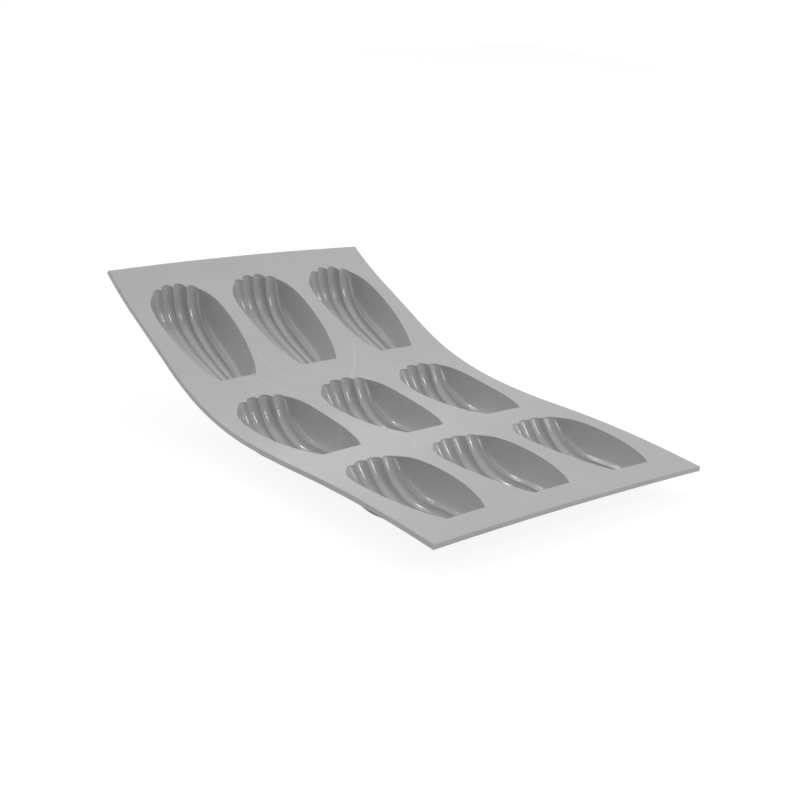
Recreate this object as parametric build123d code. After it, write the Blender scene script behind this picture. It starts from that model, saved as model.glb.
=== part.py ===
from build123d import *
import math
import os

# A flexible silicone baking mould: a curved sheet with three rows of three ribbed shell cups.
# X runs across the sheet, Y along it from the front edge to the back edge, Z up.
# Lengths are in millimetres and angles in degrees.

# Driving dimensions of the sheet
sheet_width = 175
sheet_thickness = 2.8
front_margin = 16.5
back_margin = 15.3
column_pitch = 54.6
row_pitch = 95.3
web_length = 12
corner_radius = 2.6

# Driving dimensions of a cup
cup_length = 77.6
cup_width = 44.4
cup_depth = 18
cup_wall = 1.5
tip_slant = 4.2

# Driving dimensions of the ribs in a cup: the two inner ones and the two outer ones
inner_rib_offset = 4
inner_rib_tip_offset = 1.5
inner_rib_radius = 4.4
outer_rib_offset = 11.2
outer_rib_tip_offset = 4.5
outer_rib_radius = 4.1
outer_rib_length = 74.9
outer_rib_depth = 16.6
flank_depth = 14.2
flank_length = 71.9

# How far the lowest cups are flattened where they stand, the share of a cup's length at which
# it is deepest, and how far a cut runs past its part
resting_flat = 0.5
deepest_share = 0.6
overrun = 4

# How closely joined faces are matched
match = 0.001

# Sizes that follow from these
row_gap = row_pitch - cup_length
sheet_length = front_margin + 2 * row_pitch + cup_length + back_margin
web_inset = (row_gap - web_length) / 2
row_tips = [front_margin + row * row_pitch for row in range(3)]
front_web_start = row_tips[0] + cup_length + web_inset
back_web_start = row_tips[1] + cup_length + web_inset
column_centres = [(column - 1) * column_pitch for column in range(3)]
half_width = sheet_width / 2

# The curve that the sheet has taken: at each station along it, its slope up towards the
# back, and how much steeper its left edge is than its middle there
sheet_bends = [
    (0, 0.5, 0),
    (row_tips[0], 0.5, 0),
    (front_web_start, -5.4, 0),
    (front_web_start + web_length, -5.4, 0),
    (row_tips[1] + cup_length / 2, -1, 0),
    (back_web_start, 11, 2.2),
    (back_web_start + web_length, 16.5, 2.2),
    (row_tips[2] + cup_length / 4, 23.5, 2.2),
    (row_tips[2] + cup_length * 3 / 4, 22.5, 2.2),
    (sheet_length, 31.5, 2.2),
]

# The cup's flank: along the cup, half its width at the rim, and the depth and half width of
# the ridge at its foot, as shares of the flank's length, half the cup's width, the flank's
# depth and the outer ridge's half width
flank_shares = [
    (-0.06, 0.47, 0.58, 0.38),
    (0.0, 0.53, 0.64, 0.42),
    (0.1, 0.685, 0.715, 0.48),
    (0.2, 0.79, 0.775, 0.54),
    (0.31, 0.88, 0.83, 0.60),
    (0.43, 0.945, 0.91, 0.67),
    (0.55, 0.985, 0.98, 0.74),
    (0.67, 1.0, 1.0, 0.81),
    (0.77, 0.99, 0.9, 0.87),
    (0.86, 0.945, 0.715, 0.92),
    (0.92, 0.865, 0.5, 0.955),
    (0.965, 0.765, 0.25, 0.98),
    (1.0, 0.65, 0.03, 1.0),
]
outer_ridge_half_width = 14.4
foot_width_share = 0.45
foot_sag_share = 0.2
flank_bulge_share = 0.05

# A rib's hollow: along the rib, the depth of its centre line and its radius there, as shares
# of the rib's length, depth and radius
rib_shares = [
    (0.989, -0.332, 1.0),
    (0.955, -0.15, 1.0),
    (0.922, 0.044, 1.0),
    (0.886, 0.238, 0.99),
    (0.847, 0.411, 0.975),
    (0.799, 0.57, 0.945),
    (0.733, 0.706, 0.9),
    (0.652, 0.782, 0.85),
    (0.568, 0.803, 0.805),
    (0.456, 0.782, 0.74),
    (0.342, 0.716, 0.67),
    (0.225, 0.642, 0.59),
    (0.122, 0.572, 0.51),
    (0.018, 0.499, 0.44),
    (-0.073, 0.435, 0.385),
]


# A point on a side edge of the sheet: its place along Y and Z, a drop below the top face,
# found by walking along the arcs. The side is -1 for the left edge and 1 for the right
def edge_point(station, drop, side):
    y, z = 0, 0
    for (start, slope, twist), (end, next_slope, next_twist) in zip(sheet_bends, sheet_bends[1:]):
        first = math.radians(slope - side * twist)
        last = math.radians(next_slope - side * next_twist)
        reach = min(station, end) if end < sheet_length else station
        turned = (last - first) * (reach - start) / (end - start)
        here = first + turned
        chord = (reach - start) * (math.sin(turned / 2) / (turned / 2) if turned else 1)
        y += chord * math.cos(first + turned / 2)
        z += chord * math.sin(first + turned / 2)
        if station <= reach:
            break
    return y + drop * math.sin(here), z - drop * math.cos(here)


# A point of the sheet, from its place across and along it, a drop below the top face
def sheet_point(across, station, drop=0):
    left = edge_point(station, drop, -1)
    right = edge_point(station, drop, 1)
    share = (across + half_width) / sheet_width
    return Vector(across, *(a + (b - a) * share for a, b in zip(left, right)))


# The plane square to the sheet at a station: X across, Y up out of the sheet, Z to the front
def square_plane(across, station):
    here = sheet_point(across, station)
    over = sheet_point(across + overrun, station) - sheet_point(across - overrun, station)
    ahead = sheet_point(across, station + overrun / 2) - sheet_point(across, station - overrun / 2)
    return Plane(here, x_dir=over, z_dir=over.cross(over.cross(ahead)))


# The closed outline of a stretch of the sheet at one side edge, of a given thickness
def side_outline(start, end, side, thickness):
    stops = [start] + [bend[0] for bend in sheet_bends if start < bend[0] < end] + [end]

    def spot(station, drop):
        return (side * half_width, *edge_point(station, drop, side))

    def run(a, b, drop):
        middle = Vector(*spot((a + b) / 2, drop))
        first, last = Vector(*spot(a, drop)), Vector(*spot(b, drop))
        if (first + last) * 0.5 == middle:
            return Line(first, last)
        return ThreePointArc(first, middle, last)

    top = [run(a, b, 0) for a, b in zip(stops, stops[1:])]
    back = Line(spot(end, 0), spot(end, thickness))
    below = [run(b, a, thickness) for a, b in reversed(list(zip(stops, stops[1:])))]
    front = Line(spot(start, thickness), spot(start, 0))
    return Wire(top + [back] + below + [front])


# A stretch of the sheet from one station to another
def strip(start, end, thickness=sheet_thickness):
    left = side_outline(start, end, -1, thickness)
    right = side_outline(start, end, 1, thickness)
    return Solid.make_loft([left, right], ruled=True)


# The smooth bowl between a cup's flanks, grown by a wall, reaching past the top face
def flank_body(centre, tip, grow):
    sections = []
    for along, wide, down, ridge in flank_shares:
        station = tip + flank_length * along + grow * (2 * along - 1)
        rim = cup_width / 2 * wide + grow
        depth = flank_depth * down + grow
        crest = outer_ridge_half_width * ridge
        foot = crest + (rim - crest) * foot_width_share
        sag = (foot - crest) * foot_sag_share
        bulge = (rim - foot) * flank_bulge_share
        plane = square_plane(centre, station)

        def half(sign):
            return [
                Line((sign * rim, overrun), (sign * rim, 0)),
                ThreePointArc(
                    (sign * rim, 0),
                    (sign * ((rim + foot) / 2 + bulge), -depth / 2 - bulge),
                    (sign * foot, -depth),
                ),
                ThreePointArc(
                    (sign * foot, -depth),
                    (sign * (foot + crest) / 2, -depth - sag),
                    (sign * crest, -depth),
                ),
            ]

        edges = half(1) + [Line((crest, -depth), (-crest, -depth))] + half(-1)
        edges.append(Line((-rim, overrun), (rim, overrun)))
        sections.append(plane * Wire(edges))
    return Solid.make_loft(sections)


# One rounded rib hollow, from the tip to beyond the scalloped rim, grown by a wall
def rib_body(centre, tip, side, rib, grow):
    offset, tip_offset, length, depth, radius = rib
    route = []
    for along, down, size in rib_shares:
        across = centre + side * (tip_offset + (offset - tip_offset) * along)
        route.append((sheet_point(across, tip + length * along, depth * down), radius * size + grow))
    sections = []
    for index, (spot, size) in enumerate(route):
        before = route[max(index - 1, 0)][0]
        after = route[min(index + 1, len(route) - 1)][0]
        plane = Plane(spot, x_dir=(1, 0, 0), z_dir=after - before)
        sections.append(plane * Wire(CenterArc((0, 0), size, 90, 360)))
    return Solid.make_loft(sections)


# The block that cuts a cup's body off square to the sheet, along its slanting tip wall
def tip_block(centre, tip, grow):
    lean = math.degrees(math.atan2(tip_slant, flank_depth))
    plane = square_plane(centre, tip - grow)
    face = plane * Rot(-lean, 0, 0) * Rectangle(2 * cup_width, 4 * cup_depth)
    return extrude(face, row_gap)


# A cup's whole body: the bowl and its four ribs, grown by a wall
def cup_body(centre, tip, grow):
    inner = (inner_rib_offset, inner_rib_tip_offset, cup_length, cup_depth, inner_rib_radius)
    outer = (outer_rib_offset, outer_rib_tip_offset, outer_rib_length, outer_rib_depth,
             outer_rib_radius)
    body = flank_body(centre, tip, grow)
    ribs = [rib_body(centre, tip, side, rib, grow) for rib in (inner, outer) for side in (1, -1)]
    return body.fuse(*ribs, tol=match) - tip_block(centre, tip, grow)


# The same body on the sheet at another column of its row
def carried(body, centre, tip):
    station = tip + cup_length / 2
    return Location(square_plane(centre, station)) * Location(square_plane(0, station)).inverse() * body


# A strip of the sheet with the two corners at its outer end rounded
def rounded_strip(start, end, outer_end):
    solid = strip(start, end)
    short = solid.edges().filter_by(lambda edge: edge.length < web_length)
    corners = short.sort_by(Axis.Y)
    return solid.fillet(corner_radius, corners[:2] if outer_end == start else corners[-2:])


row_names = ["front_row", "middle_row", "back_row"]
cup_names = [["front_left_cup", "front_centre_cup", "front_right_cup"],
             ["middle_left_cup", "middle_centre_cup", "middle_right_cup"],
             ["back_left_cup", "back_centre_cup", "back_right_cup"]]
front_web_end = front_web_start + web_length
back_web_end = back_web_start + web_length
row_spans = [(0, front_web_start), (front_web_end, back_web_start), (back_web_end, sheet_length)]

# The sheet's strips and webs, and the cups let into them
nodes = {
    "front_row_sheet": rounded_strip(*row_spans[0], 0),
    "front_web": strip(front_web_start, front_web_end),
    "middle_row_sheet": strip(*row_spans[1]),
    "back_web": strip(back_web_start, back_web_end),
    "back_row_sheet": rounded_strip(*row_spans[2], sheet_length),
}
for row_name, names, span, tip in zip(row_names, cup_names, row_spans, row_tips):
    below_top = strip(*span, 2 * cup_depth)
    outside = cup_body(0, tip, cup_wall)
    shell = (outside & below_top) - cup_body(0, tip, 0)
    for name, centre in zip(names, column_centres):
        nodes[row_name + "_sheet"] -= carried(outside, centre, tip)
        nodes[name] = carried(shell.solid(), centre, tip)

# The front and the middle row stand level on the lowest of their cups
deepest = [sheet_point(0, tip + cup_length * deepest_share, cup_depth) for tip in row_tips[:2]]
rest_tilt = -math.degrees(math.atan2(deepest[1].Z - deepest[0].Z, deepest[1].Y - deepest[0].Y))
nodes = {name: Rot(rest_tilt, 0, 0) * body.solid() for name, body in nodes.items()}
floor = min(nodes[name].bounding_box().min.Z for name in cup_names[0] + cup_names[1]) + resting_flat
under_floor = Pos(0, 0, floor) * Box(
    2 * sheet_width, 2 * sheet_length, cup_depth, align=(Align.CENTER, Align.CENTER, Align.MAX)
)
for name in cup_names[0] + cup_names[1]:
    nodes[name] -= Pos(0, sheet_length / 2, 0) * under_floor

# The origin is under the middle of the whole mould, on the surface that it stands on
whole = Compound(children=list(nodes.values())).bounding_box()
nodes = {name: Pos(0, -whole.center().Y, -floor) * body.solid() for name, body in nodes.items()}

os.makedirs("parts", exist_ok=True)
for name, solid in nodes.items():
    export_step(solid, "parts/" + name + ".step")
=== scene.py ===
import bmesh
import bpy
import math
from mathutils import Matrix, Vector


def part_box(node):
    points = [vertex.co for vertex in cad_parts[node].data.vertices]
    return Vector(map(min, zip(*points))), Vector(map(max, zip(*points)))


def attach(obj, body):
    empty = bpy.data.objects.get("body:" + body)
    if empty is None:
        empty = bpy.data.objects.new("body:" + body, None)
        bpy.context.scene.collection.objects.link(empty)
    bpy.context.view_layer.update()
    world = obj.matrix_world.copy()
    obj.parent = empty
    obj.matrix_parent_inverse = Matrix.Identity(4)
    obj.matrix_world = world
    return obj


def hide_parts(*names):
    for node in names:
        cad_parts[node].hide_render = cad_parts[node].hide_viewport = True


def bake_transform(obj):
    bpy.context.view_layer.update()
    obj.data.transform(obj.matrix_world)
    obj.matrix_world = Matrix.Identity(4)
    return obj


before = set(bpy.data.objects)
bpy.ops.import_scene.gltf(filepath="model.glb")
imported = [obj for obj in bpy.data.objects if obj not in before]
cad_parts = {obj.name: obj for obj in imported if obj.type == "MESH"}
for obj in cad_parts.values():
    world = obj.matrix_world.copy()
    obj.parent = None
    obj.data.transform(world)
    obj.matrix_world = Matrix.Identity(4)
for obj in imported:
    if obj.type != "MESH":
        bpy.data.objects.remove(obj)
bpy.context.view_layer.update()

# The mould is built flat, in millimetres: x across it, y along it and z up from its top face.
# Then it takes the curve of the CAD model's sheet.
MM = 0.001

# The sheet
SHEET_WIDTH = 175
HALF_WIDTH = SHEET_WIDTH / 2
SHEET_LENGTH = 300
SHEET_THICKNESS = 2.8
CORNER_RADIUS = 2.6
EDGE_ROUND = 0.45
EDGE_SEGMENTS = 3

# The cups, their rows and columns, and the webs between the rows
CUP_LENGTH = 77.6
CUP_WIDTH = 44.4
CUP_DEPTH = 18
ROW_NAMES = ["front", "middle", "back"]
ROW_TIPS = [16.5, 111.8, 207.1]
COLUMN_NAMES = ["left", "centre", "right"]
COLUMN_PITCH = 54.6
COLUMNS = [-COLUMN_PITCH, 0, COLUMN_PITCH]
WEB_LENGTH = 12
FRONT_WEB_START = 96.95
BACK_WEB_START = 192.25
ROW_SPANS = [
    (0, FRONT_WEB_START),
    (FRONT_WEB_START + WEB_LENGTH, BACK_WEB_START),
    (BACK_WEB_START + WEB_LENGTH, SHEET_LENGTH),
]

# The sheet's curve: at each station its slope, and how much steeper its left edge is
SHEET_BENDS = [
    (0, 0.5, 0),
    (ROW_TIPS[0], 0.5, 0),
    (FRONT_WEB_START, -5.4, 0),
    (FRONT_WEB_START + WEB_LENGTH, -5.4, 0),
    (ROW_TIPS[1] + CUP_LENGTH / 2, -1, 0),
    (BACK_WEB_START, 11, 2.2),
    (BACK_WEB_START + WEB_LENGTH, 16.5, 2.2),
    (ROW_TIPS[2] + CUP_LENGTH / 4, 23.5, 2.2),
    (ROW_TIPS[2] + CUP_LENGTH * 3 / 4, 22.5, 2.2),
    (SHEET_LENGTH, 31.5, 2.2),
]
# How the curve is tipped as it lies
REST_TILT = math.radians(3.5107)
# How far the sheet's middle line stands above its side edges
CAMBER = 1.37
# The front edge of the top face, in metres: at the CAD sheet's front, and this high
FRONT_EDGE_HEIGHT = 0.016277
FRONT_EDGE = Vector((0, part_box("front_row_sheet")[0].y, FRONT_EDGE_HEIGHT))

# A cup's wall, the slope of its tip wall, and the rounding of its rim
CUP_WALL = 1.5
TIP_SLOPE = 4.2 / 14.2
RIM_ROUND = 0.4
RIM_STEPS = 4
# Where the flat ring between the rim and the sheet is divided, as a share of the wall
RING_DIVIDE = 0.66

# The flank, and the outer ridge at its foot, with its depth as a share of the flank's
FLANK_LENGTH = 71.9
FLANK_DEPTH = 14.2
RIDGE_WIDTH = 14.4
RIDGE_HEIGHT = 0.92
# The knee's place as a share of the flank's width, and how far the flank sags below it and
# bulges above it, as shares of the widths there
KNEE = 0.45
FOOT_SAG = 0.16
FLANK_BULGE = 0.09
# How many points on each side of the knee are eased, and how often
KNEE_REACH = 4
KNEE_PASSES = 6

# The ribs: how far from the cup's middle line at the wide end and at the tip, and their sizes
INNER_RIB = {"wide": 4, "tip": 1.5, "length": 77.6, "depth": 18, "radius": 4.4}
OUTER_RIB = {"wide": 11.2, "tip": 4.5, "length": 74.9, "depth": 16.6, "radius": 4.1}

# Along the flank: half width of the rim, depth and half width of the ridge at its foot
FLANK_SHARES = [
    (-0.06, 0.47, 0.58, 0.38),
    (0.0, 0.53, 0.64, 0.42),
    (0.1, 0.685, 0.715, 0.48),
    (0.2, 0.79, 0.775, 0.54),
    (0.31, 0.88, 0.83, 0.60),
    (0.43, 0.945, 0.91, 0.67),
    (0.55, 0.985, 0.98, 0.74),
    (0.67, 1.0, 1.0, 0.81),
    (0.77, 0.99, 0.9, 0.87),
    (0.86, 0.945, 0.715, 0.92),
    (0.92, 0.865, 0.5, 0.955),
    (0.965, 0.765, 0.25, 0.98),
    (1.0, 0.65, 0.03, 1.0),
]
RIM_COLUMN, DEPTH_COLUMN, RIDGE_COLUMN = 1, 2, 3
# Along a rib: the depth of its centre line and its radius
RIB_SHARES = [
    (-0.073, 0.435, 0.385),
    (0.018, 0.499, 0.44),
    (0.122, 0.572, 0.51),
    (0.225, 0.642, 0.59),
    (0.342, 0.716, 0.67),
    (0.456, 0.782, 0.74),
    (0.568, 0.803, 0.805),
    (0.652, 0.782, 0.85),
    (0.733, 0.706, 0.9),
    (0.799, 0.57, 0.945),
    (0.847, 0.411, 0.975),
    (0.886, 0.238, 0.99),
    (0.922, 0.044, 1.0),
    (0.955, -0.15, 1.0),
    (0.989, -0.332, 1.0),
]
CENTRE_COLUMN, RADIUS_COLUMN = 1, 2

# The sections of a cup, as shares of the inner rib's length, and how far along a section
# looks for the outer rib and for the outer ridge
SECTIONS = 220
SECTION_START = -0.07
SECTION_REACH = 1.09
SLOPE_STEP = 0.002
RIB_SEARCH = 0.25
RIDGE_BEHIND = 0.3
RIDGE_AHEAD = 0.4
SEARCH_STEPS = 24

# How many steps each mesh has: across each half of a cup, along it and down its tip wall
RIB_STEPS = 10
FOOT_STEPS = 6
FLANK_STEPS = 12
HALF_STEPS = 2 * RIB_STEPS + FOOT_STEPS + FLANK_STEPS
ALONG_STEPS = 96
TIP_STEPS = 10
CELL_STEPS = 8
WEB_STEPS = (70, 8)
# How often a cup's surface is eased along
FAIRING_PASSES = 4
# The way out of the rim is eased over this many points to each side, and this far
RIM_EASE_POINTS = 24
RIM_EASE_REACH = 2.6
# Where the corners of a cell of the sheet are joined to the rim of its cup: beside its tip and
# where its outer ridges end
BESIDE_TIP = 11.8
RIM_CORNERS = [
    (-BESIDE_TIP, 0), (BESIDE_TIP, 0), (RIDGE_WIDTH, FLANK_LENGTH), (-RIDGE_WIDTH, FLANK_LENGTH),
]

# Points closer than this are one, and a point this close to the sheet's outline is on it
MERGE_REACH = 0.004
NEAR = 0.01
# The sheet's outer edges fold by more than this angle
EDGE_FOLD = 1


# The curved sheet

def edge_point(station, drop, side):
    """A point on a side edge of the sheet, a drop below its top face, before it is set down."""
    y, z = 0, 0
    for (start, slope, twist), (end, next_slope, next_twist) in zip(SHEET_BENDS, SHEET_BENDS[1:]):
        first = math.radians(slope - side * twist)
        last = math.radians(next_slope - side * next_twist)
        reach = min(station, end) if end < SHEET_LENGTH else station
        turned = (last - first) * (reach - start) / (end - start)
        here = first + turned
        chord = (reach - start) * (math.sin(turned / 2) / (turned / 2) if turned else 1)
        y += chord * math.cos(first + turned / 2)
        z += chord * math.sin(first + turned / 2)
        if station <= reach:
            break
    return y + drop * math.sin(here), z - drop * math.cos(here)


def laid(across, station, height):
    """A flat point of the mould in its place on the curved sheet, in metres."""
    left, right = edge_point(station, -height, -1), edge_point(station, -height, 1)
    share = (across + HALF_WIDTH) / SHEET_WIDTH
    y, z = (a + (b - a) * share for a, b in zip(left, right))
    cos, sin = math.cos(REST_TILT), math.sin(REST_TILT)
    y, z = y * cos - z * sin, z * cos + y * sin
    raised = CAMBER * (COLUMN_PITCH ** 2 - across ** 2) / HALF_WIDTH ** 2
    return Vector((across, y, z + raised)) * MM + FRONT_EDGE


# The shape of a cup

def share_at(table, x, column):
    """A smooth curve through one column of a table, straight beyond its ends."""
    xs = [row[0] for row in table]
    ys = [row[column] for row in table]
    last = len(xs) - 1
    i = next((k for k in range(last) if x <= xs[k + 1]), last - 1)

    def slope(k):
        a, b = max(k - 1, 0), min(k + 1, last)
        return (ys[b] - ys[a]) / (xs[b] - xs[a])

    if x < xs[0]:
        return ys[0] + slope(0) * (x - xs[0])
    if x > xs[-1]:
        return ys[-1] + slope(last) * (x - xs[-1])
    step = xs[i + 1] - xs[i]
    t = (x - xs[i]) / step
    return (
        ys[i] * (2 * t ** 3 - 3 * t ** 2 + 1) + slope(i) * step * (t ** 3 - 2 * t ** 2 + t)
        + ys[i + 1] * (3 * t ** 2 - 2 * t ** 3) + slope(i + 1) * step * (t ** 3 - t ** 2)
    )


def rib_centre(rib, along):
    """A rib's centre line, in the upright plane along the cup."""
    return Vector((
        rib["length"] * along, -rib["depth"] * share_at(RIB_SHARES, along, CENTRE_COLUMN)))


def outer_ridge(along, grow):
    """Half width of the outer ridge, and its place in the upright plane along the cup."""
    depth = FLANK_DEPTH * share_at(FLANK_SHARES, along, DEPTH_COLUMN) * RIDGE_HEIGHT + grow
    place = Vector((FLANK_LENGTH * along + grow * (2 * along - 1), -depth))
    return RIDGE_WIDTH * share_at(FLANK_SHARES, along, RIDGE_COLUMN), place


def solved(low, high, error):
    """Where a rising error passes zero."""
    for _ in range(SEARCH_STEPS):
        middle = (low + high) / 2
        low, high = (middle, high) if error(middle) < 0 else (low, middle)
    return (low + high) / 2


def arc(a, b, radius, steps):
    """Points on the arc that sags from a to b, closer together near its ends."""
    span = b - a
    reach = max(radius ** 2 - (span.length / 2) ** 2, 0) ** 0.5
    centre = (a + b) / 2 + Vector((-span.y, span.x)).normalized() * reach
    first = math.atan2(a.y - centre.y, a.x - centre.x)
    turn = 2 * math.asin(min(span.length / 2 / radius, 1))
    points = []
    for k in range(steps + 1):
        angle = first + turn * (1 - math.cos(math.pi * k / steps)) / 2
        points.append(centre + radius * Vector((math.cos(angle), math.sin(angle))))
    return points


def eased(points):
    """Each point drawn towards its neighbours once."""
    inner = [(a + 2 * b + c) / 4 for a, b, c in zip(points, points[1:], points[2:])]
    return [points[0]] + inner + [points[-1]]


def hump(t):
    """Rises from 0 to 1 and falls back to 0."""
    return 4 * t * (1 - t)


def flank_points(foot, grow, top):
    """Points from the outer ridge over the rounded foot of the flank up to its rim."""
    ridge_width, (y, crest) = outer_ridge(foot, grow)
    rim = CUP_WIDTH / 2 * share_at(FLANK_SHARES, foot, RIM_COLUMN) + grow
    depth = FLANK_DEPTH * share_at(FLANK_SHARES, foot, DEPTH_COLUMN) + grow
    knee = ridge_width + (rim - ridge_width) * KNEE
    sag = (knee - ridge_width) * FOOT_SAG
    bulge = (rim - knee) * FLANK_BULGE
    points = []
    for k in range(1, FOOT_STEPS + 1):
        t = k / FOOT_STEPS
        z = crest + (-depth - crest) * t - sag * hump(t)
        points.append(Vector((ridge_width + (knee - ridge_width) * t, y, z)))
    height = max(1 - top / depth, 0) if depth > 0 else 0
    for k in range(1, FLANK_STEPS + 1):
        t = k / FLANK_STEPS * height
        out = bulge * hump(t)
        points.append(Vector((knee + (rim - knee) * t + out, y, -depth * (1 - t) - out)))
    points[-1].z = max(-top, -depth)
    return points


def half_section(along, grow, top):
    """Points from the cup's middle line out to its rim, where the inner rib is cut across."""
    inner = rib_centre(INNER_RIB, along)
    before = rib_centre(INNER_RIB, along - SLOPE_STEP)
    ahead = (rib_centre(INNER_RIB, along + SLOPE_STEP) - before).normalized()
    up = Vector((-ahead.y, ahead.x))

    def past_cut(place):
        return (place - inner).dot(ahead)

    def spread(rib, x):
        return rib["tip"] + (rib["wide"] - rib["tip"]) * x

    other = solved(
        along - RIB_SEARCH, along + RIB_SEARCH, lambda x: past_cut(rib_centre(OUTER_RIB, x)))
    foot = solved(
        along - RIDGE_BEHIND, along + RIDGE_AHEAD, lambda x: past_cut(outer_ridge(x, grow)[1]))
    inner_radius = INNER_RIB["radius"] * share_at(RIB_SHARES, along, RADIUS_COLUMN) + grow
    outer_radius = OUTER_RIB["radius"] * share_at(RIB_SHARES, other, RADIUS_COLUMN) + grow
    inner_middle = Vector((spread(INNER_RIB, along), 0))
    outer_middle = Vector((
        spread(OUTER_RIB, other), (rib_centre(OUTER_RIB, other) - inner).dot(up)))
    ridge_width, ridge = outer_ridge(foot, grow)

    # The three ridges: at the middle line, between the ribs, and at the flank's foot
    middle = Vector((0, -(inner_radius ** 2 - inner_middle.x ** 2) ** 0.5))
    apart = outer_middle - inner_middle
    reach = (apart.length_squared + inner_radius ** 2 - outer_radius ** 2) / (2 * apart.length)
    rise = max(inner_radius ** 2 - reach ** 2, 0) ** 0.5
    between = inner_middle + apart.normalized() * reach
    between += Vector((apart.y, -apart.x)).normalized() * rise
    outermost = Vector((ridge_width, (ridge - inner).dot(up)))

    section = arc(middle, between, inner_radius, RIB_STEPS)
    section += arc(between, outermost, outer_radius, RIB_STEPS)[1:]
    points = [Vector((p.x, *(inner + up * p.y))) for p in section]
    points += flank_points(foot, grow, top)
    knee = 2 * RIB_STEPS + FOOT_STEPS
    around = slice(knee - KNEE_REACH, knee + KNEE_REACH + 1)
    for _ in range(KNEE_PASSES):
        points[around] = eased(points[around])
    return points


def cut_line(line, grow, top):
    """The part of a line along the cup between its tip wall and a level below the top face."""
    def before_tip(p):
        return p.y + grow + TIP_SLOPE * p.z

    kept = []
    for a, b in zip(line, line[1:]):
        if not kept and before_tip(b) >= 0:
            t = before_tip(a) / (before_tip(a) - before_tip(b))
            kept.append(a.lerp(b, min(max(t, 0), 1)))
        if kept:
            if b.y > CUP_LENGTH / 2 and b.z >= -top > a.z:
                kept.append(a.lerp(b, (-top - a.z) / (b.z - a.z)))
                break
            kept.append(b)
    return kept


def spaced(line, steps):
    """The same line with evenly spaced points."""
    lengths = [0]
    for a, b in zip(line, line[1:]):
        lengths.append(lengths[-1] + (b - a).length)
    points, i = [], 0
    for k in range(steps + 1):
        want = lengths[-1] * k / steps
        while i < len(line) - 2 and lengths[i + 1] < want:
            i += 1
        gap = lengths[i + 1] - lengths[i]
        points.append(line[i].lerp(line[i + 1], (want - lengths[i]) / gap if gap else 0))
    return points


def tip_wall(first_row, top):
    """Rows of points down the slanted tip wall, from a level below the top face."""
    wall = []
    for k in range(TIP_STEPS):
        level = [-top + (p.z + top) * (k / TIP_STEPS) for p in first_row]
        wall.append([
            Vector((p.x, p.y + TIP_SLOPE * (p.z - z), z)) for p, z in zip(first_row, level)])
    return wall


def cup_surface(grow, top):
    """Rows of points from the tip wall's top edge to the wide end, across the whole cup."""
    sections = [
        half_section(SECTION_START + SECTION_REACH * k / SECTIONS, grow, top)
        for k in range(SECTIONS + 1)
    ]
    outer = 2 * RIB_STEPS
    # The flank ends where its foot comes up to the rim
    last = SECTIONS // 2 + 1
    while last < SECTIONS and sections[last][outer].z < -top:
        last += 1
    lines = []
    for column in range(HALF_STEPS + 1):
        line = [s[column] for s in (sections[:last] if column > outer else sections)]
        lines.append(cut_line(line, grow, top))
    for line in lines[outer + 1:]:
        line.append(lines[outer][-1])
    lines = [spaced(line, ALONG_STEPS) for line in lines]
    rows = []
    for k in range(ALONG_STEPS + 1):
        half = [line[k] for line in lines]
        rows.append([Vector((-p.x, p.y, p.z)) for p in half[:0:-1]] + half)
    rows = tip_wall(rows[0], top) + rows
    # The ridges and the creases are rounded off, and the surface is made fair along the cup
    rows = [eased(row) for row in rows]
    for _ in range(FAIRING_PASSES):
        columns = [eased(column) for column in zip(*rows)]
        rows = [[row[0], *middle[1:-1], row[-1]] for row, middle in zip(rows, zip(*columns))]
    return rows


def walked(edges):
    """The vertices of a closed loop of edges, in order, the same way round seen from above."""
    links = {}
    for edge in edges:
        for vert in edge.verts:
            links.setdefault(vert, []).append(edge.other_vert(vert))
    start = min(links, key=lambda v: (round(v.co.y, 3), round(v.co.x, 3)))
    order, here = [start], max(links[start], key=lambda v: v.co.x)
    while here is not start:
        order.append(here)
        here = next(v for v in links[here] if v is not order[-2])
    return order


def add_surface(bm, rows):
    """A grid with its points at the rows' places. Returns its open edges."""
    across, along = len(rows[0]) - 1, len(rows) - 1
    made = bmesh.ops.create_grid(bm, x_segments=across, y_segments=along, size=1)["verts"]
    for vert in made:
        column = round((vert.co.x + 1) / 2 * across)
        row = round((vert.co.y + 1) / 2 * along)
        vert.co = rows[row][column]
    bmesh.ops.remove_doubles(bm, verts=made, dist=MERGE_REACH)
    made = {vert for vert in made if vert.is_valid}
    return [edge for edge in bm.edges if edge.is_boundary and edge.verts[0] in made]


def outward(loop):
    """For each point of a loop, the direction out of it in the top face, eased along it."""
    count = len(loop)
    places = [p.xy for p in loop]
    normals = []
    for k in range(count):
        along = (places[(k + 1) % count] - places[k - 1]).normalized()
        normals.append(Vector((along.y, -along.x)))
    eased_out = []
    for k in range(count):
        total = Vector((0, 0))
        for j in range(count):
            if min((k - j) % count, (j - k) % count) > RIM_EASE_POINTS:
                continue
            near = RIM_EASE_REACH - (places[k] - places[j]).length
            if near > 0:
                spacing = (places[(j + 1) % count] - places[j - 1]).length
                total += normals[j] * near * spacing
        eased_out.append(total.normalized())
    return eased_out


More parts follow.
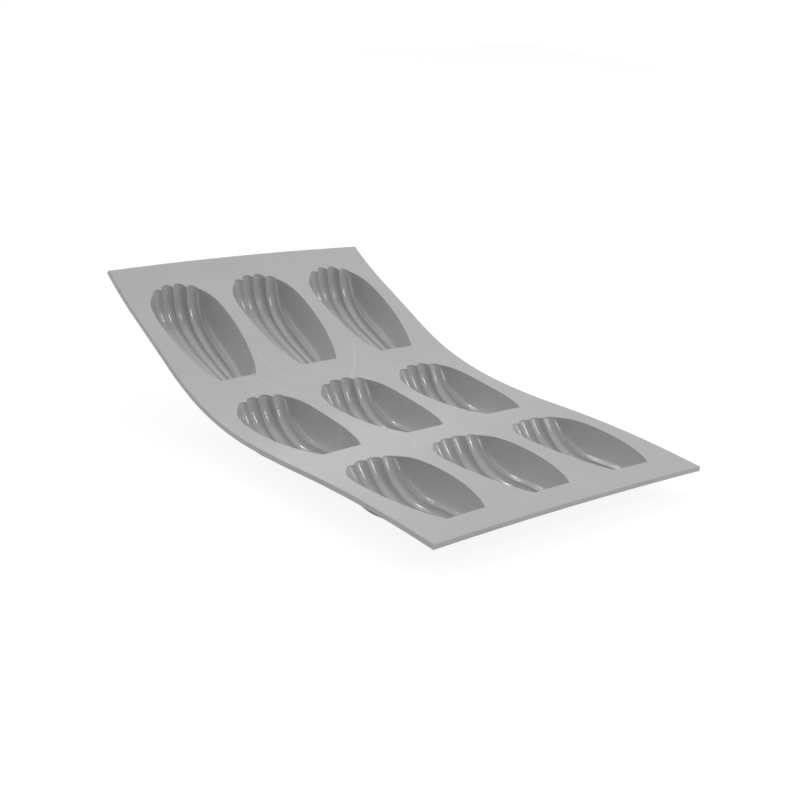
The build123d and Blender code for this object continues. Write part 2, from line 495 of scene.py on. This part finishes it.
def cup_mesh():
    """A whole cup, flat, about its own middle and tip, and the loop where it meets the sheet."""
    bm = bmesh.new()
    outside = walked(add_surface(bm, cup_surface(CUP_WALL, SHEET_THICKNESS)))
    loop = walked(add_surface(bm, cup_surface(0, RIM_ROUND)))
    bases = [vert.co.copy() for vert in loop]
    directions = outward(bases)

    # From the rim over its rounding to the sheet, down beside it, and in to the outside
    steps = []
    for k in range(1, RIM_STEPS + 1):
        turn = math.radians(90 * k / RIM_STEPS)
        steps.append((RIM_ROUND * (1 - math.cos(turn)), RIM_ROUND * (math.sin(turn) - 1)))
    steps += [(CUP_WALL * RING_DIVIDE, 0), (CUP_WALL, 0), (CUP_WALL, -SHEET_THICKNESS)]
    rings = []
    for out, height in steps:
        rings.append([Vector((*(p.xy + d * out), height)) for p, d in zip(bases, directions)])
    rings.append([vert.co.copy() for vert in outside])
    for ring in rings:
        edges = [bm.edges.get((a, b)) for a, b in zip(loop, loop[1:] + loop[:1])]
        made = bmesh.ops.extrude_edge_only(bm, edges=edges)["geom"]
        new = {item for item in made if isinstance(item, bmesh.types.BMVert)}
        loop = [
            next(e.other_vert(v) for e in v.link_edges if e.other_vert(v) in new) for v in loop]
        for vert, place in zip(loop, ring):
            vert.co = place
    bmesh.ops.remove_doubles(bm, verts=bm.verts[:], dist=MERGE_REACH)
    bmesh.ops.recalc_face_normals(bm, faces=bm.faces[:])
    return bm, [p.xy for p in rings[-2]]


# The sheet round the cups

def at_corner(place):
    """The middle of the rounded corner of the sheet that a place belongs to, if any."""
    x = math.copysign(HALF_WIDTH - CORNER_RADIUS, place.x)
    for y in (CORNER_RADIUS, SHEET_LENGTH - CORNER_RADIUS):
        past = place.y < y if y == CORNER_RADIUS else place.y > y
        if past and abs(place.x) > abs(x):
            return Vector((x, y))
    return None


def cell_ring(loop, left, right, front, back):
    """Places round a cell of the sheet, one for each point of the loop round its cup."""
    turns = [
        min(range(len(loop)), key=lambda k: (loop[k] - Vector(spot)).length)
        for spot in RIM_CORNERS
    ]
    corners = [
        Vector(spot) for spot in ((left, front), (right, front), (right, back), (left, back))]
    places = [None] * len(loop)
    for k in range(4):
        steps = (turns[(k + 1) % 4] - turns[k]) % len(loop)
        for j in range(steps):
            place = corners[k].lerp(corners[(k + 1) % 4], j / steps)
            middle = at_corner(place)
            if middle:
                place = middle + (place - middle).normalized() * CORNER_RADIUS
            places[(turns[k] + j) % len(loop)] = place
    return places


def on_outline(vert):
    """Whether a point lies on the outline of the whole sheet."""
    middle = at_corner(vert.co.xy)
    if middle:
        return (vert.co.xy - middle).length > CORNER_RADIUS - NEAR
    y = vert.co.y
    return abs(vert.co.x) > HALF_WIDTH - NEAR or y < NEAR or y > SHEET_LENGTH - NEAR


def thickened(bm):
    """Gives a flat piece of the sheet its thickness, and rounds its outer edges."""
    bmesh.ops.remove_doubles(bm, verts=bm.verts[:], dist=MERGE_REACH)
    made = bmesh.ops.extrude_face_region(bm, geom=bm.faces[:], use_keep_orig=True)["geom"]
    lower = [item for item in made if isinstance(item, bmesh.types.BMVert)]
    bmesh.ops.translate(bm, verts=lower, vec=(0, 0, -SHEET_THICKNESS))
    bmesh.ops.recalc_face_normals(bm, faces=bm.faces[:])
    edges = [
        edge for edge in bm.edges
        if abs(edge.verts[0].co.z - edge.verts[1].co.z) < NEAR
        and on_outline(edge.verts[0]) and on_outline(edge.verts[1])
        and edge.calc_face_angle(0) > EDGE_FOLD
    ]
    bmesh.ops.bevel(
        bm, geom=edges, offset=EDGE_ROUND, segments=EDGE_SEGMENTS, profile=0.5,
        affect="EDGES", material=-1)


def row_mesh(row, loop):
    """One row's stretch of the sheet, with a hole for each of its cups."""
    bm = bmesh.new()
    tip = ROW_TIPS[row]
    front, back = ROW_SPANS[row]
    for column, middle in enumerate(COLUMNS):
        left = -HALF_WIDTH if column == 0 else middle - COLUMN_PITCH / 2
        right = HALF_WIDTH if column == 2 else middle + COLUMN_PITCH / 2
        hole = [p + Vector((middle, tip)) for p in loop]
        edge = cell_ring(loop, left - middle, right - middle, front - tip, back - tip)
        edge = [p + Vector((middle, tip)) for p in edge]
        rows = []
        for k in range(CELL_STEPS + 1):
            ring = [a.lerp(b, k / CELL_STEPS) for a, b in zip(hole, edge)]
            rows.append([Vector((*p, 0)) for p in ring + ring[:1]])
        add_surface(bm, rows)
    thickened(bm)
    return bm


def web_mesh(start):
    """The strip of the sheet between two rows."""
    bm = bmesh.new()
    across, along = WEB_STEPS
    rows = []
    for k in range(along + 1):
        y = start + WEB_LENGTH * k / along
        rows.append([
            Vector((SHEET_WIDTH * (j / across - 0.5), y, 0)) for j in range(across + 1)])
    add_surface(bm, rows)
    thickened(bm)
    return bm


# The silicone

BASE_COLOUR = (0.405, 0.403, 0.408)
# Its plain tone, and what clouds, the mottle, a crest's painted highlight, a hollow's painted
# shade and a flow mark add to it
PLAIN_TONE = 0.95
CLOUD_TONE = 0.10
MOTTLE_TONE = 0.04
CREST_HIGHLIGHT_TONE = 0.26
HOLLOW_SHADE_TONE = -0.10
MARK_TONE = 0.13
# Its roughness, what the mottle adds, and what the inside of a cup adds soon below its rim
SHEET_ROUGHNESS = 0.44
MOTTLE_ROUGHNESS = 0.08
CUP_ROUGHNESS = -0.31
CUP_START = 6
# The patterns on it, and how high the finest of them stands
CLOUD = {"Scale": 28, "Detail": 2}
MOTTLE = {"Scale": 260, "Detail": 3}
GRAIN = {"Scale": 2600, "Detail": 2}
GRAIN_STRENGTH = 0.08
GRAIN_HEIGHT = 0.00004
# How much a crest is exaggerated in the mask of the painted highlight, how slight a bend is left
# out, and which faces look up
CREST_GAIN = 3
CREST_START = 0.2
LOOKS_UP = 0.05
SHARP_ANGLE = math.radians(40)

# Faint pale lines where the silicone flowed together: start, middle and end of each
FLOW_MARKS = [
    ((32, 72), (19.5, 53.4), (10, 43.7)),
    ((-32.5, 67.2), (-28.5, 54.7), (-12.5, 40.8)),
    ((-43, 56), (-39.5, 47), (-19, 32)),
    ((-28, 6.2), (-24, 6.7), (-19.5, 7.7)),
    ((20, 6.6), (27, 7.2), (34, 6.7)),
    ((10.5, -34.8), (9.5, -41.3), (8.5, -49.8)),
    ((-10, -35.3), (-12, -45.3), (-13, -54.3)),
    ((-17.5, -28.3), (-16.5, -39.3), (-23, -53.3)),
    ((23.5, -18.8), (29.5, -18.8), (34.5, -19.3)),
    ((-34.2, -3.7), (-36.6, -8.2), (-40.4, -11)),
    ((16.6, -21.3), (16.3, -20.1), (15.6, -17.8)),
]
# Half the width of a line and the length over which its ends fade, in metres
MARK_WIDTH = 0.0008
MARK_FADE = 0.002


def node(tree, kind, place, **inputs):
    """A shader node with some of its inputs set or linked, by name or, as n0, by number."""
    made = tree.nodes.new(kind)
    made.location = place
    for key, value in inputs.items():
        numbered = key[0] == "n" and key[1:].isdigit()
        socket = made.inputs[int(key[1:]) if numbered else key]
        if isinstance(value, bpy.types.NodeSocket):
            tree.links.new(value, socket)
        else:
            socket.default_value = value
    return made


def math_node(tree, operation, place, first, second=0.0, third=0.0):
    """The result of a Math node."""
    made = node(tree, "ShaderNodeMath", place, n0=first, n1=second, n2=third)
    made.operation = operation
    return made.outputs[0]


def distance_node(tree, place, first, second):
    """The distance between two places in a shader."""
    made = node(tree, "ShaderNodeVectorMath", place, n0=first, n1=second)
    made.operation = "DISTANCE"
    return made.outputs["Value"]


def vertex_note(tree, place, name):
    """What a mesh notes at its vertices under a name."""
    made = node(tree, "ShaderNodeAttribute", place)
    made.attribute_name = name
    return made.outputs["Fac"]


def circle_through(a, b, c):
    """The middle and radius of the circle through three places."""
    double = 2 * (a.x * (b.y - c.y) + b.x * (c.y - a.y) + c.x * (a.y - b.y))
    x = a.dot(a) * (b.y - c.y) + b.dot(b) * (c.y - a.y) + c.dot(c) * (a.y - b.y)
    y = a.dot(a) * (c.x - b.x) + b.dot(b) * (a.x - c.x) + c.dot(c) * (b.x - a.x)
    middle = Vector((x, y)) / double
    return middle, (a - middle).length


def flow_mark_group():
    """A node group for one flow mark: an arc about a centre, as far as it reaches."""
    group = bpy.data.node_groups.new("flow_mark", "ShaderNodeTree")
    for name, kind in (
        ("Place", "Vector"), ("Centre", "Vector"), ("Radius", "Float"),
        ("Middle", "Vector"), ("Reach", "Float"),
    ):
        group.interface.new_socket(name, in_out="INPUT", socket_type="NodeSocket" + kind)
    group.interface.new_socket("Mark", in_out="OUTPUT", socket_type="NodeSocketFloat")
    given = group.nodes.new("NodeGroupInput").outputs
    off = distance_node(group, (200, 0), given["Place"], given["Centre"])
    off = math_node(group, "SUBTRACT", (400, 0), off, given["Radius"])
    off = math_node(group, "ABSOLUTE", (600, 0), off)
    line = math_node(group, "MULTIPLY_ADD", (800, 0), off, -1 / MARK_WIDTH, 1.0)
    line = math_node(group, "MAXIMUM", (1000, 0), line, 0.0)
    left = distance_node(group, (200, -200), given["Place"], given["Middle"])
    left = math_node(group, "SUBTRACT", (400, -200), given["Reach"], left)
    left = math_node(group, "MULTIPLY", (600, -200), left, 1 / MARK_FADE)
    left = math_node(group, "MAXIMUM", (800, -200), left, 0.0)
    left = math_node(group, "MINIMUM", (1000, -200), left, 1.0)
    mark = math_node(group, "MULTIPLY", (1200, 0), line, left)
    out = group.nodes.new("NodeGroupOutput")
    out.location = (1400, 0)
    group.links.new(mark, out.inputs["Mark"])
    return group


def flow_marks(tree, where):
    """How strongly a place is marked by the flow lines."""
    flat = node(tree, "ShaderNodeVectorMath", (-1200, 900), n0=where, n1=(1, 1, 0))
    flat.operation = "MULTIPLY"
    group = flow_mark_group()
    total = 0.0
    for k, ends in enumerate(FLOW_MARKS):
        a, b, c = (Vector(end) * MM for end in ends)
        middle, radius = circle_through(a, b, c)
        mark = tree.nodes.new("ShaderNodeGroup")
        mark.node_tree = group
        mark.location = (-1000 + 200 * k, 900)
        tree.links.new(flat.outputs[0], mark.inputs["Place"])
        mark.inputs["Centre"].default_value = (*middle, 0)
        mark.inputs["Radius"].default_value = radius
        mark.inputs["Middle"].default_value = (*b, 0)
        mark.inputs["Reach"].default_value = max((a - b).length, (c - b).length)
        total = math_node(tree, "MAXIMUM", (-1000 + 200 * k, 700), mark.outputs["Mark"], total)
    return total


def silicone_material():
    """Grey silicone: faintly clouded and grained, with a painted highlight on its crests and
    painted shade deeper in its cups, glossier in the cups.
    """
    material = bpy.data.materials.new("silicone")
    material.use_nodes = True
    tree = material.node_tree
    shader = tree.nodes["Principled BSDF"]
    where = node(tree, "ShaderNodeTexCoord", (-1400, 0)).outputs["Object"]
    # The hollow note paints shade deeper in the cups and makes them glossier
    hollow = vertex_note(tree, (-1400, 300), "hollow")
    # The crest note paints a highlight along the crests
    crest = vertex_note(tree, (-1400, 500), "crest")
    cloud, mottle, grain = (
        node(tree, "ShaderNodeTexNoise", (-1100, -250 * k), Vector=where, **pattern).outputs["Fac"]
        for k, pattern in enumerate((CLOUD, MOTTLE, GRAIN))
    )

    tone = PLAIN_TONE
    marks = flow_marks(tree, where)
    # The crest adds a painted highlight and the hollow a painted shade to the tone
    for k, (mask, added) in enumerate((
        (cloud, CLOUD_TONE), (mottle, MOTTLE_TONE), (crest, CREST_HIGHLIGHT_TONE), (hollow, HOLLOW_SHADE_TONE),
        (marks, MARK_TONE),
    )):
        tone = math_node(tree, "MULTIPLY_ADD", (-850 + 150 * k, 0), mask, added, tone)
    colour = node(tree, "ShaderNodeMix", (0, 0), n0=1.0)
    colour.data_type = "RGBA"
    colour.blend_type = "MULTIPLY"
    colour.inputs["A"].default_value = (*BASE_COLOUR, 1)
    grey = node(tree, "ShaderNodeCombineColor", (-150, -180), Red=tone, Green=tone, Blue=tone)
    tree.links.new(grey.outputs["Color"], colour.inputs["B"])
    tree.links.new(colour.outputs["Result"], shader.inputs["Base Color"])

    inside = math_node(tree, "MULTIPLY", (-700, -300), hollow, CUP_START)
    inside = math_node(tree, "MINIMUM", (-550, -300), inside, 1)
    rough = math_node(
        tree, "MULTIPLY_ADD", (-550, -450), mottle, MOTTLE_ROUGHNESS, SHEET_ROUGHNESS)
    rough = math_node(tree, "MULTIPLY_ADD", (-400, -300), inside, CUP_ROUGHNESS, rough)
    tree.links.new(rough, shader.inputs["Roughness"])

    bump = node(
        tree, "ShaderNodeBump", (-250, -500), Height=grain, Strength=GRAIN_STRENGTH,
        Distance=GRAIN_HEIGHT)
    tree.links.new(bump.outputs["Normal"], shader.inputs["Normal"])
    return material


silicone = silicone_material()


def shaded_by_shape(bm):
    """Notes at each vertex how deep it lies in its cup, for the painted shade and the gloss in the
    cups, and how sharply it stands out, for the painted highlight on crests.
    """
    hollow = bm.verts.layers.float.new("hollow")
    crest = bm.verts.layers.float.new("crest")
    bm.normal_update()
    for vert in bm.verts:
        # Depth in the cup, which darkens the colour as painted shade and makes the cup glossier
        vert[hollow] = min(max(-vert.co.z / CUP_DEPTH, 0), 1)
        upper = [face for face in vert.link_faces if face.normal.z > LOOKS_UP]
        if upper:
            normal = sum((face.normal for face in upper), Vector()).normalized()
            ends = {end for face in upper for end in face.verts} - {vert}
            bend = sum(normal.dot((vert.co - end.co).normalized()) for end in ends) / len(ends)
            # How sharply the vertex stands out, which paints a highlight on the crests
            vert[crest] = min(max(CREST_GAIN * bend - CREST_START, 0), 1)


def placed(bm, name, across, station, standing=False):
    """Makes a flat piece an object on the sheet's curve, with its feet settled if it stands."""
    for vert in bm.verts:
        vert.co = laid(vert.co.x + across, vert.co.y + station, vert.co.z)
        if standing and vert.co.z < 0:
            vert.co.z = 0
    for face in bm.faces:
        face.smooth = True
    mesh = bpy.data.meshes.new(name)
    bm.to_mesh(mesh)
    bm.free()
    mesh.set_sharp_from_angle(angle=SHARP_ANGLE)
    mesh.materials.append(silicone)
    obj = bpy.data.objects.new(name, mesh)
    bpy.context.scene.collection.objects.link(obj)
    return obj


# The rows: their cups and their stretches of the sheet

flat_cup, cup_loop = cup_mesh()
shaded_by_shape(flat_cup)
for row, row_name in enumerate(ROW_NAMES):
    body = row_name + "_row"
    for column, column_name in enumerate(COLUMN_NAMES):
        cup_name = f"{row_name}_{column_name}_cup"
        cup = placed(
            flat_cup.copy(), cup_name + ".shell", COLUMNS[column], ROW_TIPS[row],
            standing=row_name != "back")
        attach(cup, body)
        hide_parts(cup_name)
    flat_row = row_mesh(row, cup_loop)
    shaded_by_shape(flat_row)
    sheet = placed(flat_row, body + ".skin", 0, 0)
    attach(sheet, body)
    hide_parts(body + "_sheet")
flat_cup.free()

# The webs between the middle row and the rows beside it

for name, start, other in (
    ("front_web", FRONT_WEB_START, "front_row"), ("back_web", BACK_WEB_START, "back_row")
):
    flat_web = web_mesh(start)
    shaded_by_shape(flat_web)
    web = placed(flat_web, name + ".bend", 0, 0)
    ends = [laid(0, y, -SHEET_THICKNESS / 2) for y in (start, start + WEB_LENGTH)]
    if other == "front_row":
        ends.reverse()
    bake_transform(web)
    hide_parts(name)


# The floor, the light and the camera

# Half the floor's width, and how far it lies below the mould's feet
FLOOR_REACH = 1.25
FLOOR_DROP = 0.0003
FLOOR_COLOUR = (0.9, 0.9, 0.9, 1)
WHITE = (1, 1, 1, 1)
# How bright the floor's white is, and its share in what the camera sees of the floor
FLOOR_WHITE = 1.05
FLOOR_WHITE_SHARE = 0.86
# How bright the room is to the mould, and to the camera
ROOM_LIGHT = 0.31
ROOM_WHITE = 1.0
# Softboxes: place, width, height, power, and whether the silicone mirrors them
SOFTBOXES = {
    "overhead": ((0.35, 0.4, 1.6), 2.2, 2.2, 17.3, True),
    "front_right": ((0.95, -0.82, 0.92), 0.035, 0.45, 6.5, True),
    "front": ((0.0, -1.4, 0.9), 1.2, 0.6, 1.2, True),
    "back": ((0.3, 1.0, 0.95), 0.25, 0.1, 1.5, True),
    "low_back": ((0.7, 1.2, 0.45), 0.5, 0.08, 1.5, True),
    "left_back": ((-1.1, 0.8, 1.0), 1.2, 0.9, 5.5, False),
}
SENSOR_WIDTH = 36
LENS = 76.862
CLIP_START = 0.01
CAMERA_PLACE = (-0.54252, -0.67118, 0.32125)
CAMERA_TURN = (71.0330, -2.1372, -38.7092)


def seen_by_camera(tree, share):
    """A share for what the camera sees directly, and 0 for all other light."""
    path = node(tree, "ShaderNodeLightPath", (-600, 200))
    return math_node(tree, "MULTIPLY", (-400, 200), path.outputs["Is Camera Ray"], share)


def mixed_shader(tree, share, plain, white):
    """Two shaders mixed: the plain one, and by its share the white one."""
    return node(
        tree, "ShaderNodeMixShader", (0, 0), Fac=share, n1=plain.outputs[0],
        n2=white.outputs[0]).outputs[0]


def studio_floor():
    """A pale floor that keeps the mould's shadow and looks white to the camera."""
    mesh = bpy.data.meshes.new("floor")
    bm = bmesh.new()
    bmesh.ops.create_grid(bm, x_segments=2, y_segments=2, size=FLOOR_REACH)
    bmesh.ops.translate(bm, verts=bm.verts[:], vec=(0, 0, -FLOOR_DROP))
    bm.to_mesh(mesh)
    bm.free()
    floor = bpy.data.objects.new("floor", mesh)
    bpy.context.scene.collection.objects.link(floor)
    pale = bpy.data.materials.new("pale_floor")
    pale.use_nodes = True
    tree = pale.node_tree
    tree.nodes.clear()
    matt = node(tree, "ShaderNodeBsdfDiffuse", (-200, 0), Color=FLOOR_COLOUR)
    white = node(tree, "ShaderNodeEmission", (-200, -200), Color=WHITE, Strength=FLOOR_WHITE)
    mixed = mixed_shader(tree, seen_by_camera(tree, FLOOR_WHITE_SHARE), matt, white)
    node(tree, "ShaderNodeOutputMaterial", (200, 0), Surface=mixed)
    mesh.materials.append(pale)


def studio_room():
    """Even light from all round, behind which the camera sees white."""
    world = bpy.data.worlds.new("studio")
    bpy.context.scene.world = world
    world.use_nodes = True
    tree = world.node_tree
    tree.nodes.clear()
    room = node(tree, "ShaderNodeBackground", (-200, 0), Color=WHITE, Strength=ROOM_LIGHT)
    back = node(tree, "ShaderNodeBackground", (-200, -200), Color=WHITE, Strength=ROOM_WHITE)
    mixed = mixed_shader(tree, seen_by_camera(tree, 1.0), room, back)
    node(tree, "ShaderNodeOutputWorld", (200, 0), Surface=mixed)


def softbox(name, place, width, height, power, mirrored):
    """A rectangular lamp turned towards the mould."""
    light = bpy.data.lights.new(name, "AREA")
    light.shape = "RECTANGLE"
    light.size = width
    light.size_y = height
    light.energy = power
    lamp = bpy.data.objects.new(name, light)
    lamp.location = place
    lamp.rotation_euler = Vector(place).to_track_quat("Z", "Y").to_euler()
    lamp.visible_glossy = mirrored
    bpy.context.scene.collection.objects.link(lamp)


studio_floor()
studio_room()
for name, settings in SOFTBOXES.items():
    softbox(name, *settings)

camera_data = bpy.data.cameras.new("camera")
camera_data.sensor_width = SENSOR_WIDTH
camera_data.lens = LENS
camera_data.clip_start = CLIP_START
camera = bpy.data.objects.new("camera", camera_data)
camera.location = CAMERA_PLACE
camera.rotation_euler = [math.radians(turn) for turn in CAMERA_TURN]
bpy.context.scene.collection.objects.link(camera)
bpy.context.scene.camera = camera
bpy.context.scene.view_settings.view_transform = "Standard"
